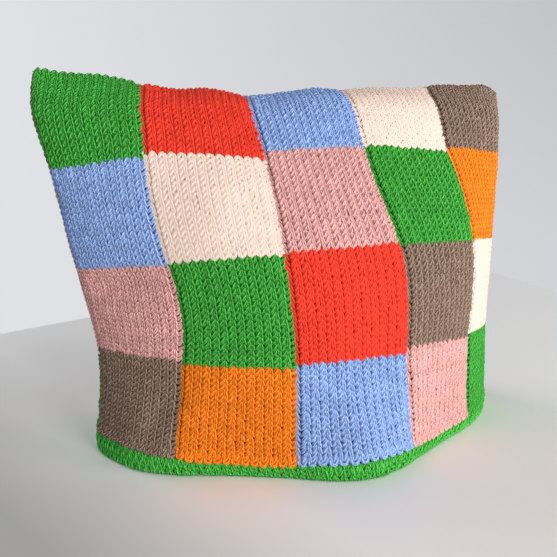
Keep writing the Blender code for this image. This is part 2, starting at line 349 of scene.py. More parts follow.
def seam_place(side, seam, row, t):
    """Share across the panel of a strip seam in a row of squares. Rows count down from the top seam."""
    place = seam if side < 0 else STRIPS - seam
    above, below, bow = SEAM_STRAY[row][place], SEAM_STRAY[row + 1][place], SEAM_BOWS[row][place]
    if side > 0:
        above = above * (BACK_TOP_STRAY if row == 0 else BACK_STRAY)
        below, bow = below * BACK_STRAY, bow * BACK_STRAY
    return SEAMS[seam] + (t * above + (1 - t) * below + 4 * t * (1 - t) * bow) / SEWN_WIDE


def edge_place(side, col, row, s):
    """Share up the panel of a square's upper edge. The row past the last one stands for the foot."""
    if side < 0:
        left, right = EDGE_RISE[row][col]
    else:
        right, left = (BACK_RISE * rise for rise in EDGE_RISE[row][STRIPS - 1 - col])
    return 1.0 - row / ROWS + ((1 - s) * left + s * right) / PANEL_TALL


def hem_share(side, u, t):
    """How far the hem's rise lifts a place in the lowest row of squares, as a share of the panel."""
    return (1 - t) * hem_rise(side, np.clip(u, 0.0, 1.0)) / PANEL_TALL


def square_place(side, col, row, s, t):
    """Share across and up the panel for a place in a square, s and t running 0 to 1."""
    u = (1 - s) * seam_place(side, col, row, t) + s * seam_place(side, col + 1, row, t)
    v = (1 - t) * edge_place(side, col, row + 1, s) + t * edge_place(side, col, row, s)
    if row == ROWS - 1:
        v = v + hem_share(side, u, t)
    return u, v


# One stitch, from its left tip down round its foot and up to its right tip. across: stitch widths
# from the middle of the wale. up: courses. lift: of the strand's middle off the skin, in mm. fat: its
# radius in mm. The two legs don't quite mirror each other, as twisted wool knits up.
STITCH = (
    # across  up    lift   fat
    (-0.48, 1.30, -2.30, 0.20),
    (-0.45, 1.02, -1.45, 0.80),
    (-0.385, 0.68, -0.72, 1.00),
    (-0.285, 0.30, -0.42, 1.10),
    (-0.165, -0.08, -0.60, 1.00),
    (-0.01, -0.46, -1.25, 0.76),
    (0.13, -0.10, -0.62, 1.00),
    (0.25, 0.28, -0.38, 1.12),
    (0.36, 0.64, -0.58, 1.03),
    (0.45, 0.98, -1.38, 0.82),
    (0.50, 1.30, -2.30, 0.20),
)
# The first course over the band: a round loop end that laps over it, and a stitch nested in it
CAST_ON = (
    (-0.41, 1.42, -2.30, 0.20),
    (-0.40, 1.05, -1.50, 0.82),
    (-0.38, 0.62, -0.50, 1.04),
    (-0.34, 0.16, 0.10, 1.14),
    (-0.21, -0.24, 0.65, 1.14),
    (-0.01, -0.42, 0.80, 1.10),
    (0.19, -0.24, 0.65, 1.14),
    (0.31, 0.16, 0.10, 1.14),
    (0.37, 0.62, -0.50, 1.04),
    (0.45, 1.05, -1.50, 0.80),
    (0.50, 1.38, -2.30, 0.20),
)
NESTED = 0.62           # how wide the nested stitch is, as a share of the others
NESTED_UP = 0.34        # how far up it sits, in courses
NESTED_LIFT = 0.45      # and how far out, in mm
SIDES = 5               # sides of a strand
STITCH_WIDE = 4.6       # width of a stitch, in mm
STRAND_FAT = 1.12       # how much thicker the strands are than the tables say


def strands(centre, out, fat, tone, soft):
    """Strands as closed tapered tubes. centre and out: (strand, point, 3); fat: (strand, point)."""
    count, points = fat.shape
    ahead = unit(np.gradient(centre, axis=1))
    up = unit(out - ahead * (out * ahead).sum(-1, keepdims=True))
    across = np.cross(ahead, up)
    rings = points - 2
    angle = (np.arange(SIDES) * 2 * math.pi / SIDES)[:, None]
    spokes = up[:, 1:-1, None] * np.cos(angle) + across[:, 1:-1, None] * np.sin(angle)
    body = centre[:, 1:-1, None] + fat[:, 1:-1, None, None] * spokes
    per = rings * SIDES + 2
    verts = np.empty((count, per, 3))
    verts[:, :-2] = body.reshape(count, -1, 3)
    verts[:, -2] = centre[:, 0]
    verts[:, -1] = centre[:, -1]
    # fibres stand off a strand all round, so its shading turns a little towards the cloth's own face
    normal = np.concatenate((spokes.reshape(count, -1, 3), -ahead[:, :1], ahead[:, -1:]), 1)
    face = np.concatenate((np.repeat(out[:, 1:-1], SIDES, 1), out[:, :1], out[:, -1:]), 1)
    facing = np.maximum((normal * face).sum(-1, keepdims=True), 0.0)
    normal = unit(normal + soft * face * facing ** (1.0 / (1.0 + soft)))
    steps = np.linalg.norm(np.diff(centre, axis=1), axis=-1)
    run = np.concatenate((np.zeros((count, 1)), np.cumsum(steps, 1)), 1)
    # faces of one strand, with the point along it and the side of it that each corner has
    quads = []
    quad_uv = []
    for j in range(rings - 1):
        for k in range(SIDES):
            m = (k + 1) % SIDES
            quads.append((j * SIDES + k, j * SIDES + m, (j + 1) * SIDES + m, (j + 1) * SIDES + k))
            quad_uv.append(((j + 1, k), (j + 1, k + 1), (j + 2, k + 1), (j + 2, k)))
    tris = []
    tri_uv = []
    last = (rings - 1) * SIDES
    for k in range(SIDES):
        m = (k + 1) % SIDES
        tris.append((per - 2, m, k))
        tri_uv.append(((0, k + 0.5), (1, k + 1), (1, k)))
        tris.append((per - 1, last + k, last + m))
        tri_uv.append(((points - 1, k + 0.5), (points - 2, k), (points - 2, k + 1)))
    base = (np.arange(count) * per)[:, None, None]
    quads = (np.array(quads)[None] + base).reshape(-1, 4)
    tris = (np.array(tris)[None] + base).reshape(-1, 3)

    def uv_of(pairs):
        """Yarn coordinates: mm run along the strand, and the share of the way round it."""
        pairs = np.array(pairs)
        length = run[:, pairs[..., 0].astype(int)]
        around = np.broadcast_to(pairs[..., 1] / SIDES, length.shape)
        return np.stack((length, around), -1).reshape(-1, 2)

    uv = np.concatenate((uv_of(quad_uv), uv_of(tri_uv)))
    return verts.reshape(-1, 3), quads, tris, uv, np.repeat(tone, per), normal.reshape(-1, 3)


def make_mesh(name, verts, quads, tris, uv, tone, materials, normals=None):
    """A smooth object with yarn coordinates and a tone at each point. verts are in mm."""
    mesh = bpy.data.meshes.new(name)
    faces = quads.tolist() + tris.tolist()
    mesh.from_pydata((verts * MM).tolist(), [], faces)
    layer = mesh.uv_layers.new(name="yarn")
    layer.uv.foreach_set("vector", uv.astype(np.float32).ravel())
    shade = mesh.attributes.new("tone", "FLOAT", "POINT")
    shade.data.foreach_set("value", tone.astype(np.float32))
    mesh.polygons.foreach_set("use_smooth", np.ones(len(mesh.polygons), bool))
    for material in materials:
        mesh.materials.append(material)
    mesh.update()
    if normals is not None:
        mesh.normals_split_custom_set_from_vertices(normals.astype(np.float32))
    obj = bpy.data.objects.new(name, mesh)
    bpy.context.scene.collection.objects.link(obj)
    return obj


# ------------------------ wool
# A wool's colour, how deep the painted shade goes between its fibres and plies, how strongly they
# show, and how soft its shading is
Wool = namedtuple("Wool", "colour deep contrast soft")
WOOLS = {
    "green": Wool((0.079, 0.460, 0.069), 0.17, 1.45, 0.1),
    "red": Wool((0.940, 0.066, 0.036), 0.46, 0.80, 0.9),
    "blue": Wool((0.372, 0.535, 0.885), 0.28, 1.32, 0.3),
    "cream": Wool((0.955, 0.748, 0.640), 0.76, 0.35, 4.0),
    "taupe": Wool((0.342, 0.242, 0.184), 0.18, 1.42, 0.2),
    "pink": Wool((0.852, 0.475, 0.450), 0.40, 1.10, 0.6),
    "orange": Wool((0.990, 0.274, 0.019), 0.44, 1.15, 0.8),
}
# How the colour and the bump of a wool are mixed, before its own contrast counts. The colour runs
# from painted shade deep between plies and fibres to the full colour
PLY_MEAN = 0.64         # average of the plies' wave
PLY_DEPTH = 0.9         # how strongly plies show in the colour
FUZZ_DEPTH = 2.6        # and fibres
BRIGHT_SHARE = 0.60     # how near the mix is to the full colour
FUZZ_RISE = 0.5         # how high the fibres stand in the bump, as a share of the plies
STRAND_BUMP = 0.00045   # height of the bump on strands, in metres
SHEET_BUMP = 0.0008     # and on a sheet, which stands for whole stitches
PURL_WAVE = 0.9         # how far the purl side's ridges wave
PLIES = 4
PLY_PITCH = 16.0        # a ply winds once round its strand in this many mm
SHADE_TOP = 0.75        # how much a shade keeps of a full channel
# A ground's colour is painted shade, the wool as it looks deep between the stitches:
GROUND_SHADE_BASE = 0.04      # how deep a ground's colour is: for every wool,
GROUND_SHADE_DEEP = 0.5       # for a wool's own depth,
GROUND_SHADE_RISE = 0.45      # and for a full channel


def shaded(colour, base, rise):
    """The colour that light takes on deep between strands of one wool: darker, and purer."""
    return tuple(c * (base + rise * c) for c in colour)


def wool_material(name, wool, kind="strand"):
    """Matt twisted wool: plies that wind along the strand, soft fuzz, and a little tone from stitch to
    stitch, with painted shade deep between plies and fibres. A ground, under the stitches, is the same
    wool in painted shade, as it looks deep between them. Grounds and purl sides are sheets of wavy
    ridges, not strands."""
    colour = wool.colour
    # a ground's colour is painted shade: the wool darker and purer, as it looks deep between stitches
    if kind == "ground":
        colour = shaded(colour, GROUND_SHADE_BASE + GROUND_SHADE_DEEP * wool.deep, GROUND_SHADE_RISE)
    material = bpy.data.materials.new(name)
    material.use_nodes = True
    tree = material.node_tree
    nodes, links = tree.nodes, tree.links
    shader = nodes["Principled BSDF"]
    shader.inputs["Roughness"].default_value = 0.88
    shader.inputs["Specular IOR Level"].default_value = 0.12
    shader.inputs["Sheen Weight"].default_value = 0.08
    shader.inputs["Sheen Roughness"].default_value = 0.45
    shader.inputs["Sheen Tint"].default_value = (*[0.2 + 0.8 * c for c in colour], 1.0)

    def node(node_type, **values):
        n = nodes.new(node_type)
        for key, value in values.items():
            setattr(n, key, value)
        return n

    def math_node(operation, *values):
        n = node("ShaderNodeMath", operation=operation)
        for socket, value in zip(n.inputs, values):
            if isinstance(value, (int, float)):
                socket.default_value = value
            else:
                links.new(value, socket)
        return n.outputs[0]

    uv = node("ShaderNodeUVMap", uv_map="yarn")
    split = node("ShaderNodeSeparateXYZ")
    links.new(uv.outputs[0], split.inputs[0])
    place = node("ShaderNodeTexCoord")
    fuzz = node("ShaderNodeTexNoise")
    fuzz.inputs["Scale"].default_value = 1400.0
    fuzz.inputs["Detail"].default_value = 3.0
    links.new(place.outputs["Object"], fuzz.inputs["Vector"])
    if kind != "strand":
        # on sheets the coordinates count stitches and courses: two wavy ridges to a course
        first = math_node("MULTIPLY", split.outputs[1], math.pi * 2)
        sway = math_node("COSINE", math_node("MULTIPLY", split.outputs[0], math.pi * 2))
        second = math_node("MULTIPLY", sway, PURL_WAVE)
    else:
        first = math_node("MULTIPLY", split.outputs[0], -math.pi * PLIES / PLY_PITCH)
        second = math_node("MULTIPLY", split.outputs[1], math.pi * PLIES)
    plies = math_node("ABSOLUTE", math_node("SINE", math_node("ADD", first, second)))
    # the mix runs from the wool's painted shade, deep between plies and fibres, to its full colour
    shade_to_colour = node("ShaderNodeMix", data_type="RGBA")
    shade_to_colour.inputs["A"].default_value = (*shaded(colour, wool.deep, SHADE_TOP - wool.deep), 1.0)
    shade_to_colour.inputs["B"].default_value = (*colour, 1.0)
    fibres = fuzz.outputs["Fac"]
    speck = math_node("MULTIPLY", math_node("SUBTRACT", fibres, 0.5), FUZZ_DEPTH * wool.contrast)
    blend = math_node("MULTIPLY", math_node("SUBTRACT", plies, PLY_MEAN), PLY_DEPTH * wool.contrast)
    blend = math_node("ADD", math_node("ADD", blend, speck), BRIGHT_SHARE)
    links.new(blend, shade_to_colour.inputs["Factor"])
    tone = node("ShaderNodeAttribute", attribute_name="tone")
    shade = node("ShaderNodeVectorMath", operation="SCALE")
    links.new(shade_to_colour.outputs["Result"], shade.inputs[0])
    links.new(tone.outputs["Fac"], shade.inputs["Scale"])
    links.new(shade.outputs[0], shader.inputs["Base Color"])
    height = math_node("ADD", plies, math_node("MULTIPLY", fibres, FUZZ_RISE))
    bump = node("ShaderNodeBump")
    bump.inputs["Strength"].default_value = 1.0
    deepest = STRAND_BUMP if kind == "strand" else SHEET_BUMP
    bump.inputs["Distance"].default_value = deepest * min(1.0, wool.contrast)
    links.new(height, bump.inputs["Height"])
    links.new(bump.outputs["Normal"], shader.inputs["Normal"])
    return material


MATERIALS = {name: wool_material("wool_" + name, wool) for name, wool in WOOLS.items()}
# grounds: each wool in painted shade, for the cloth that shows deep between the stitches
SHADED_GROUNDS = {name: wool_material("wool_painted_shade_" + name, wool, "ground") for name, wool in WOOLS.items()}
PURLS = {name: wool_material("wool_purl_" + name, wool, "purl") for name, wool in WOOLS.items()}


# ------------------------ the panels
EDGE_BEAD = 0.16        # how far the outermost legs of a strip bulge over its seam, in stitch widths
BEAD_AT = 0.35          # how far up each of these beads sits, and how long it is, in courses
STRIP_SINK = 1.3        # how far a strip's side edges turn in, in mm
STRIP_REACH = 2.2       # and how far from the seam this is felt
TIP_DIVE = 0.9          # how steeply the tips of the top row dive into the top seam
BACK_EDGE_SINK = 1.3    # how much lower the back's top edge lies than the front's
BACK_EDGE_REACH = 5.0   # and how far down from it this is felt
TONE_DRIFT = 0.03       # how much the tone of whole courses varies
DRIFT_STEP = 1.7        # and how fast, in radians to a course
# Spreads of how single stitches vary, in a square and in the band: across and twist in stitch widths,
# up in courses, lift in mm, and the others as shares
SPREAD = {"across": 0.025, "twist": 0.03, "width": 0.06, "up": 0.05, "bead": 0.35, "lift": 0.12,
          "fat": 0.05, "tone": 0.05}
BAND_SPREAD = {"across": 0.05, "width": 0.06, "up": 0.08, "lift": 0.14, "fat": 0.06, "tone": 0.05}


def vary(count, amount):
    """A random offset for each stitch, the same all along it."""
    return RNG.normal(0, amount, (count, 1))


def stitch_shapes(count):
    """The table of a stitch, once for each stitch."""
    return np.broadcast_to(np.array(STITCH), (count, len(STITCH), 4)).copy()


def knitted(name, wool, centre, out, fat, tone):
    """An object made of the strands of one wool."""
    verts, quads, tris, uv, shade, normals = strands(centre, out, fat, tone, WOOLS[wool].soft)
    obj = make_mesh(name, verts, quads, tris, uv, shade, [MATERIALS[wool]], normals)
    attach(obj, "root")
    return obj


def knit_square(skin, side, col, row, name):
    """One square of stocking stitch, laid on a panel."""
    courses = ROW_COURSES[row]
    k, j = (n.ravel() for n in np.meshgrid(np.arange(WALES), np.arange(courses)))
    nest = np.zeros(len(k), bool)
    if row == ROWS - 1:
        k = np.concatenate((k, np.arange(WALES)))
        j = np.concatenate((j, np.zeros(WALES, int)))
        nest = np.concatenate((nest, np.ones(WALES, bool)))
    count = len(k)
    shape = stitch_shapes(count)
    if row == ROWS - 1:
        shape[(j == 0) & ~nest] = np.array(CAST_ON)
        shape[nest, :, 0] *= NESTED
        shape[nest, :, 1] += NESTED_UP
        shape[nest, :, 2] += NESTED_LIFT
    lean = vary(count, SPREAD["across"]) + vary(count, SPREAD["twist"]) * shape[..., 1]
    a = shape[..., 0] * (1 + vary(count, SPREAD["width"])) + lean
    b = shape[..., 1] + vary(count, SPREAD["up"])
    # the outermost legs of a strip bulge over the seam, one bead to a course
    bead = EDGE_BEAD * np.exp(-((shape[..., 1] - BEAD_AT) / BEAD_AT) ** 2)
    bead = bead * (1 + vary(count, SPREAD["bead"]))
    outermost = np.where(k == 0, -1, 0) + np.where(k == WALES - 1, 1, 0)
    a = a + bead * outermost[:, None] * (a * outermost[:, None] > 0)
    wool = hue(side, col, row)
    uneven = min(1.0, WOOLS[wool].contrast)
    lift = shape[..., 2] + vary(count, SPREAD["lift"]) * uneven
    fat = shape[..., 3] * (1 + vary(count, SPREAD["fat"]))
    s = (k[:, None] + 0.5 + a) / WALES
    t = (j[:, None] + b) / courses
    # each strip's side edges turn in a little where they are sewn to the next strip
    edge = np.minimum(s, 1 - s) * SQUARE
    lift = lift - STRIP_SINK * np.exp(-np.maximum(edge, 0.0) ** 2 / STRIP_REACH**2)
    u, v = square_place(side, col, row, s, t)
    # past the top seam the tips dive into it, and the back's edge lies a little lower than the front's
    lift = lift + np.minimum(0.0, 1.0 - v) * PANEL_TALL * TIP_DIVE
    if side > 0:
        lift = lift - BACK_EDGE_SINK * np.clip(1.0 - (1.0 - v) * PANEL_TALL / BACK_EDGE_REACH, 0.0, 1.0)
    centre, out = skin.at(u, v, lift)
    fat = fat * STRAND_FAT * (SQUARE / WALES / STITCH_WIDE)
    drift = TONE_DRIFT * np.sin(j * DRIFT_STEP + col)
    tone = 1.0 + uneven * (RNG.normal(0, SPREAD["tone"], count) + drift)
    return knitted(name, wool, centre, out, fat, tone)


OUTER_CELLS = 7         # rows of faces to a square, on the outer side of the ground cloth
INNER_CELLS = 35        # and on its purl side, where two of them make a ridge
GROUND_LIFT = -1.55     # where the ground's outer side lies off the skin
GROUND_SINK = 0.15      # how much deeper than said both its sides lie
RIM_SHARE = 0.35        # share of its depth that it keeps at a panel's sides and top
RIM_REACH = 14.0        # and how far from them it has all of it
PURL_RIDGE = 0.5        # height of the purl side's ridges
PURL_SWAY = 0.11        # how far a ridge sways from wale to wale, in courses
RIM_DROP = 1.3          # how far its top edge lies under the stitches' tips
JOINT_DROP = 1.0        # and how much more where strips meet


def cloth_grid(side, share, level):
    """Places on a panel for shares across and levels down, both counted in squares from the top left."""
    u = np.empty((len(level), len(share)))
    v = np.empty((len(level), len(share)))
    rows = np.minimum(ROWS - 1, level.astype(int))
    cols = np.minimum(STRIPS - 1, share.astype(int))
    for row in range(ROWS):
        for col in range(STRIPS):
            t, s = np.meshgrid(1.0 - (level[rows == row] - row), share[cols == col] - col, indexing="ij")
            uu, vv = square_place(side, col, row, s, t)
            if row == ROWS - 1:
                # the ground cloth itself goes down to the foot
                vv = vv - hem_share(side, uu, t)
            u[np.ix_(rows == row, cols == col)] = uu
            v[np.ix_(rows == row, cols == col)] = vv
    return u, v


def ground_cloth(skin, side, name):
    """A panel's cloth itself: a thin closed sheet under the stitches, with purl ridges on its inside.
    Its outer side, but for its rim, is in painted shade.
    """
    share = np.arange(WALES * STRIPS + 1) / WALES
    outer_level = np.arange(OUTER_CELLS * ROWS + 1) / OUTER_CELLS
    inner_level = np.arange(INNER_CELLS * ROWS + 1) / INNER_CELLS
    ratio = INNER_CELLS // OUTER_CELLS
    faces = []
    for level, lift in ((outer_level, GROUND_LIFT), (inner_level, -CLOTH)):
        u, v = cloth_grid(side, share, level)
        rim = np.minimum(np.minimum(u, 1 - u) * PANEL_WIDE, (1 - v) * PANEL_TALL)
        taper = RIM_SHARE + (1.0 - RIM_SHARE) * lip(rim, RIM_REACH)
        lift = lift * taper - GROUND_SINK
        if level is inner_level:
            # a ridge at every other level, which sways from wale to wale, and none at the rim
            inside = np.pad(np.ones((len(level) - 2, len(share) - 2)), 1)
            ridge = 0.5 - np.arange(len(level))[:, None] % 2
            lift = lift + PURL_RIDGE * ridge * taper * inside
            sway = 1.0 - 2.0 * (np.arange(len(share)) % 2)
            v = v + PURL_SWAY * sway * inside / (COURSES * ROWS)
        place = skin.at(u, v, lift)[0]
        # its top edge lies under the stitches' tips, and lower where strips meet, as they do there
        place[0, :, 2] -= RIM_DROP
        place[0, WALES:-1:WALES, 2] -= JOINT_DROP
        faces.append(place)
    outer, inner = faces
    verts = np.concatenate((outer.reshape(-1, 3), inner.reshape(-1, 3)))
    n = outer.shape[0] * len(share)
    grid = np.arange(n).reshape(-1, len(share))
    back = np.arange(n, len(verts)).reshape(-1, len(share))

    def cells(g):
        return np.stack((g[:-1, :-1], g[1:, :-1], g[1:, 1:], g[:-1, 1:]), -1).reshape(-1, 4)

    top = np.stack((grid[0, :-1], grid[0, 1:], back[0, 1:], back[0, :-1]), -1)
    foot = np.stack((grid[-1, 1:], grid[-1, :-1], back[-1, :-1], back[-1, 1:]), -1)
    quads = np.concatenate((cells(grid), cells(back)[:, ::-1], top, foot))
    # the side edges, where each face of the outer side meets several of the purl side
    tris = []
    for j in range(len(outer_level) - 1):
        for col, turned in ((0, False), (-1, True)):
            line = back[j * ratio:(j + 1) * ratio + 1, col]
            fan = [(grid[j, col], p, q) for p, q in zip(line[:-1], line[1:])]
            fan.append((grid[j, col], line[-1], grid[j + 1, col]))
            tris += [f[::-1] if turned else f for f in fan]
    tris = np.array(tris)
    if side > 0:
        quads, tris = quads[:, ::-1], tris[:, ::-1]
    place = np.concatenate([np.stack(np.meshgrid(share * WALES, level * COURSES), -1).reshape(-1, 2)
                            for level in (outer_level, inner_level)])
    uv = np.concatenate((place[quads.ravel()], place[tris.ravel()]))
    names = sorted(WOOLS)
    # the outer side takes its wool in painted shade, the purl side and the rim the wool's own colour
    materials = [kind[w] for kind in (SHADED_GROUNDS, PURLS, MATERIALS) for w in names]
    obj = make_mesh(name, verts, quads, tris, uv, np.ones(len(verts)), materials)
    # the wool of each face comes from the square that its middle lies in
    middle = np.concatenate((place[quads].mean(1), place[tris].mean(1)))
    purl = np.concatenate(((quads >= n).all(1), (tris >= n).all(1)))
    cols = np.minimum(STRIPS - 1, (middle[:, 0] / WALES).astype(int))
    rows = np.minimum(ROWS - 1, (middle[:, 1] / COURSES).astype(int))
    wools = np.array([[names.index(hue(side, c, r)) for c in range(STRIPS)] for r in range(ROWS)])
    # round the rim the ground shows between the stitches' tips, so it is the wool's own colour there
    rim = (middle[:, 0] < 1) | (middle[:, 0] > WALES * STRIPS - 1)
    rim |= middle[:, 1] < COURSES / OUTER_CELLS
    index = wools[rows, cols] + np.where(purl, 1, 2 * rim) * len(names)
    obj.data.polygons.foreach_set("material_index", index.astype(np.int32))
    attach(obj, "root")
    return obj


panels = {}
for label, side in (("front", -1), ("back", 1)):
    skin = Skin(side)
    cloth = ground_cloth(skin, side, "cloth_" + label)
    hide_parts("panel_" + label)
    squares = []
    for row in range(ROWS):
        for col in range(STRIPS):
            # columns count along X on both panels
            name = "square_%s_%d_%d" % (label, row + 1, col + 1)
            squares.append(knit_square(skin, side, col, row, name))
    panels[label] = (cloth, squares)


# ------------------------ the band
BAND_COURSES = 7        # courses from the band's outer top down, under it and up inside
BAND_START = 0.4        # how far down the first of them starts, in courses
BAND_LEAN = 2.2         # how far its wales lean over all its courses, in stitches
LEAN_AT = 0.08          # share of the way round where they lean most
BAND_TOP_SINK = 0.9     # how much lower its first course lies
SINK_REACH = 0.16       # and how far round the section this is felt, as a share
BAND_TONE = 1.18        # how bright its wool is beside the squares' green
BAND_PROUD = 1.2        # how far the band's outer side stands out from the panels' foot
RING_POINTS = 720       # points of its ring, seen from above
RING_ROUNDS = 60        # rounds of smoothing of the ring
# Right half of its section, from the top: shares of half its thickness and of its height
BAND_SECTION = ((0.30, 1.0), (0.80, 0.90), (1.0, 0.66), (1.0, 0.36), (0.92, 0.12), (0.55, 0.0))
SECTION_ROUNDS = 3      # rounds of cutting the section's corners
SECTION_POINTS = 101
OUTSIDE_FROM = 0.3      # where the part of the band that reaches up to the squares begins, in mm
OUTSIDE_OVER = 0.9      # and over what width it grows to all of it
BAND_CLOTH = (-0.9, -2.0)   # where the two sides of its cloth lie off its section
BAND_CELLS = 300        # faces round its cloth
BAND_LINES = 25         # points of its cloth round the section
BAND_OPEN = 0.02        # share of the section left open at each end
CLOTH_WALES = 130       # stitches round it, as its ridges count them
CLOTH_FLOOR = 0.3       # how far its cloth stays off the table
STITCH_FLOOR = 0.05     # and its stitches


def read_rows(rows, share):
    """Rows of a table, read between its points."""
    x = share * (len(rows) - 1)
    i = np.minimum(x.astype(int), len(rows) - 2)
    f = (x - i)[..., None]
    return rows[i] * (1 - f) + rows[i + 1] * f


class Roll:
    """The turned band: its ring seen from above, and the outline of its section."""

    def __init__(self):
        front = level_line(FOOT, -1)
        back = level_line(FOOT, 1)[::-1]
        ring = np.concatenate((front[:-1], back[:-1]))[:, :2]
        closed = np.concatenate((ring, ring[:1]))
        run = run_of(closed)
        self.front_share = run_of(front[:, :2])[-1] / run[-1]
        ring = read_line(closed, run, np.linspace(0.0, run[-1], RING_POINTS + 1)[:-1])
        for _ in range(RING_ROUNDS):
            ring = (np.roll(ring, 1, axis=0) + 2 * ring + np.roll(ring, -1, axis=0)) / 4
        ahead = unit(np.roll(ring, -1, axis=0) - np.roll(ring, 1, axis=0))
        inward = np.stack((-ahead[:, 1], ahead[:, 0]), axis=-1)
        half = BAND_THICK / 2
        ring = ring + inward * (half - BAND_PROUD) - CENTRE[:2]
        self.ring = np.concatenate((ring, ring[:1]))
        self.inward = np.concatenate((inward, inward[:1]))
        outline = [(a * half, b * BAND_TALL) for a, b in BAND_SECTION]
        outline = np.array(outline + [(-a, b) for a, b in reversed(outline)])
        for _ in range(SECTION_ROUNDS):
            this, after = outline[:-1], outline[1:]
            cut = np.stack((this * 0.75 + after * 0.25, this * 0.25 + after * 0.75), 1)
            outline = np.concatenate((outline[:1], cut.reshape(-1, 2), outline[-1:]))
        run = run_of(outline)
        self.section = read_line(outline, run, np.linspace(0, run[-1], SECTION_POINTS))
        slope = unit(np.gradient(self.section, axis=0))
        self.face = np.stack((-slope[:, 1], slope[:, 0]), axis=-1)

    def at(self, turn, girth, lift):
        """Points at shares round the ring and round the section, from the outer top down and under."""
        turn = np.mod(turn, 1.0)
        girth = np.clip(girth, 0.0, 1.0)
        base = read_rows(self.ring, turn)
        inward = unit(read_rows(self.inward, turn))
        place = read_rows(self.section, girth)
        face = unit(read_rows(self.face, girth))
        # where the squares' edge stands higher, the band's outer side reaches up to it
        front = hem_rise(-1, np.minimum(turn / self.front_share, 1.0))
        back = hem_rise(1, np.clip((1.0 - turn) / (1.0 - self.front_share), 0.0, 1.0))
        rise = np.maximum(np.where(turn < self.front_share, front, back), 0.0)
        outside = np.clip((place[..., 0] - OUTSIDE_FROM) / OUTSIDE_OVER, 0.0, 1.0)
        tall = np.clip(place[..., 1] / BAND_TALL, 0.0, 1.0)
        place = place + np.stack((np.zeros_like(rise), rise * outside * tall), -1)
        place = place + face * np.asarray(lift)[..., None]
        point = np.concatenate((base - inward * place[..., :1], place[..., 1:]), axis=-1)
        out = np.concatenate((-inward * face[..., :1], face[..., 1:]), axis=-1)
        return point, out


def knit_band(roll, name):
    """The band's stitches, one ring of them to a course."""
    wales = int(round(run_of(roll.ring)[-1] / STITCH_WIDE))
    k, j = (n.ravel() for n in np.meshgrid(np.arange(wales), np.arange(BAND_COURSES)))
    count = len(k)
    shape = stitch_shapes(count)
    a = vary(count, BAND_SPREAD["across"]) - shape[..., 0] * (1 + vary(count, BAND_SPREAD["width"]))
    b = shape[..., 1] + vary(count, BAND_SPREAD["up"])
    lift = shape[..., 2] + vary(count, BAND_SPREAD["lift"])
    fat = shape[..., 3] * (1 + vary(count, BAND_SPREAD["fat"])) * STRAND_FAT
    turn = (k[:, None] + 0.5 + a) / wales
    down = j[:, None] + 0.5 - b
    # the wales lean where the roll has twisted a little
    turn = turn + BAND_LEAN * np.cos(2 * math.pi * (turn - LEAN_AT)) * down / BAND_COURSES / wales
    girth = (down + BAND_START) / BAND_COURSES
    # its first course lies lower, so that the squares' loop ends lap over it
    lift = lift - BAND_TOP_SINK * np.clip(1.0 - girth / SINK_REACH, 0.0, 1.0)
    centre, out = roll.at(turn, girth, lift)
    centre[..., 2] = np.maximum(centre[..., 2], fat + STITCH_FLOOR)
    tone = BAND_TONE + RNG.normal(0, BAND_SPREAD["tone"], count)
    return knitted(name, "green", centre, out, fat, tone)


def ground_band(roll, name):
    """The band's cloth: one strip turned double, open along its top, in painted shade."""
    girth = np.linspace(BAND_OPEN, 1.0 - BAND_OPEN, BAND_LINES)
    t, g = np.meshgrid(np.arange(BAND_CELLS) / BAND_CELLS, girth)
    sides = [roll.at(t, g, np.full(t.shape, lift))[0] for lift in BAND_CLOTH]
    verts = np.concatenate([points.reshape(-1, 3) for points in sides])
    verts[:, 2] = np.maximum(verts[:, 2], CLOTH_FLOOR)
    n = t.size
    grid = np.arange(n).reshape(t.shape)
    after = np.roll(grid, -1, axis=1)
    face = np.stack((grid[:-1], grid[1:], after[1:], after[:-1]), -1).reshape(-1, 4)
    top = np.stack((grid[0], after[0], after[0] + n, grid[0] + n), -1)
    end = np.stack((grid[-1], grid[-1] + n, after[-1] + n, after[-1]), -1)
    quads = np.concatenate((face, face[:, ::-1] + n, top, end))
    place = np.tile(np.stack((t.ravel() * CLOTH_WALES, g.ravel() * BAND_COURSES), -1), (2, 1))
    uv = place[quads.ravel()]
    tris = np.zeros((0, 3), int)
    # the band's cloth is green in painted shade, as it shows deep between the stitches
    obj = make_mesh(name, verts, quads, tris, uv, np.ones(len(verts)), [SHADED_GROUNDS["green"]])
    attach(obj, "root")
    return obj


roll = Roll()
band = ground_band(roll, "band")
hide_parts("hem_band")
band_stitches = knit_band(roll, "band_stitches")

for label in ("front", "back"):
    cloth, squares = panels[label]

# ------------------------ floor, light and camera
CAMERA_AT = Vector((-0.15815, -0.42840, 0.2069))
CAMERA_AHEAD = Vector((0.31911, 0.91791, -0.23582))
CAMERA_ANGLE = 40.0
# Painted light and shade on the table, lighter towards the back and darker towards the near left:
# along a direction, from start to end, from the first strength to the last
TABLE_PAINTED_SHADES = (
    # direction, start, end, first, last
    ((0, 1, 0), -0.15, 0.30, 0.88, 0.97),
    ((1, 0.45, 0), -0.20, -0.08, 0.50, 1.0),
)
# The table top: its far corner, behind the part, and its edges to the left and towards the viewer
TABLE_CORNER = Vector((0.352, 0.442, 0.0))
TABLE_LEFT = Vector((-0.9466, -0.3223, 0.0)) * 3
TABLE_NEAR = Vector((0.1379, -0.9904, 0.0)) * 3
LAMPS = (
    # name, place, aim, size, watts, colour
    ("key", (1.1892, -0.9979, 0.4871), (0, 0, 0.1), 0.8, 10.6, (1.0, 0.98, 0.95)),
    ("window", (0.4051, -1.5117, 0.4327), (0, 0, 0.1), 0.8, 19.5, (1.0, 0.99, 0.98)),
    ("far window", (-1.10, 0.95, 0.70), (-0.20, 0.25, 0.0), 1.0, 11.0, (0.97, 0.98, 1.0)),
)
ROOM = 0.330            # strength of the even light of the room
ROOM_COLOUR = (0.952, 0.963, 1.0, 1.0)
